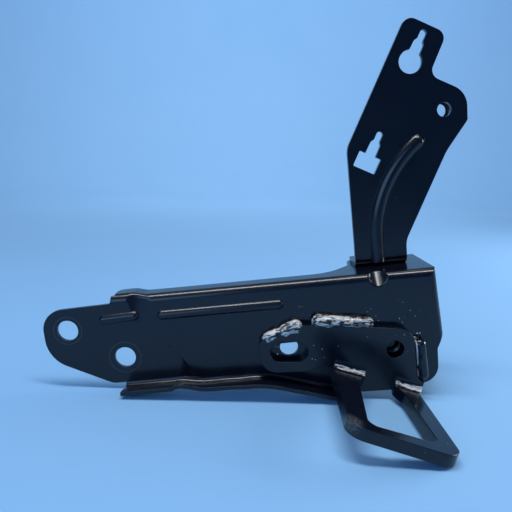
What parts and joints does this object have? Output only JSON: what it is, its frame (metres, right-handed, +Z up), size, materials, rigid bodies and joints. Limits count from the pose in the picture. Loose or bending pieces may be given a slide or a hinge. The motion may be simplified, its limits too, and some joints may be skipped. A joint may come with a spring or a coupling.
{
  "type": "seat console bracket",
  "caption": "Welded black steel seat console bracket: stamped channel with a bolt ear, upright keyhole arm, thick bent loop and weld nuts.",
  "frame": {"origin": "centre of the ear's end hole, on the front face of the channel", "axes": "+Z up as the bracket stands, +X along the channel from the ear to the deep box, +Y from the front face to the back"},
  "size_m": [0.2182, 0.1124, 0.1942],
  "materials": {
    "black_coat": "gloss black dip coat on stamped sheet",
    "plate_coat": "gloss black dip coat on thick sheared plate",
    "nut_coat": "gloss black dip coat on a weld nut",
    "weld_bead": "thinly coated rippled weld metal with slag spots"
  },
  "bodies": {
    "root": {"main_channel": "black_coat", "rear_shell": "black_coat", "support_arm": "black_coat", "loop_bracket": "plate_coat", "anchor_weld_nut": "nut_coat", "arm_weld_nut": "nut_coat", "loop_weld_left": "weld_bead", "loop_weld_top": "weld_bead", "loop_weld_right": "weld_bead", "arm_weld_left": "weld_bead", "arm_weld_right": "weld_bead", "shell_weld_neck": "weld_bead", "shell_weld_box": "weld_bead", "shell_weld_end": "weld_bead"}
  },
  "joints": []
}
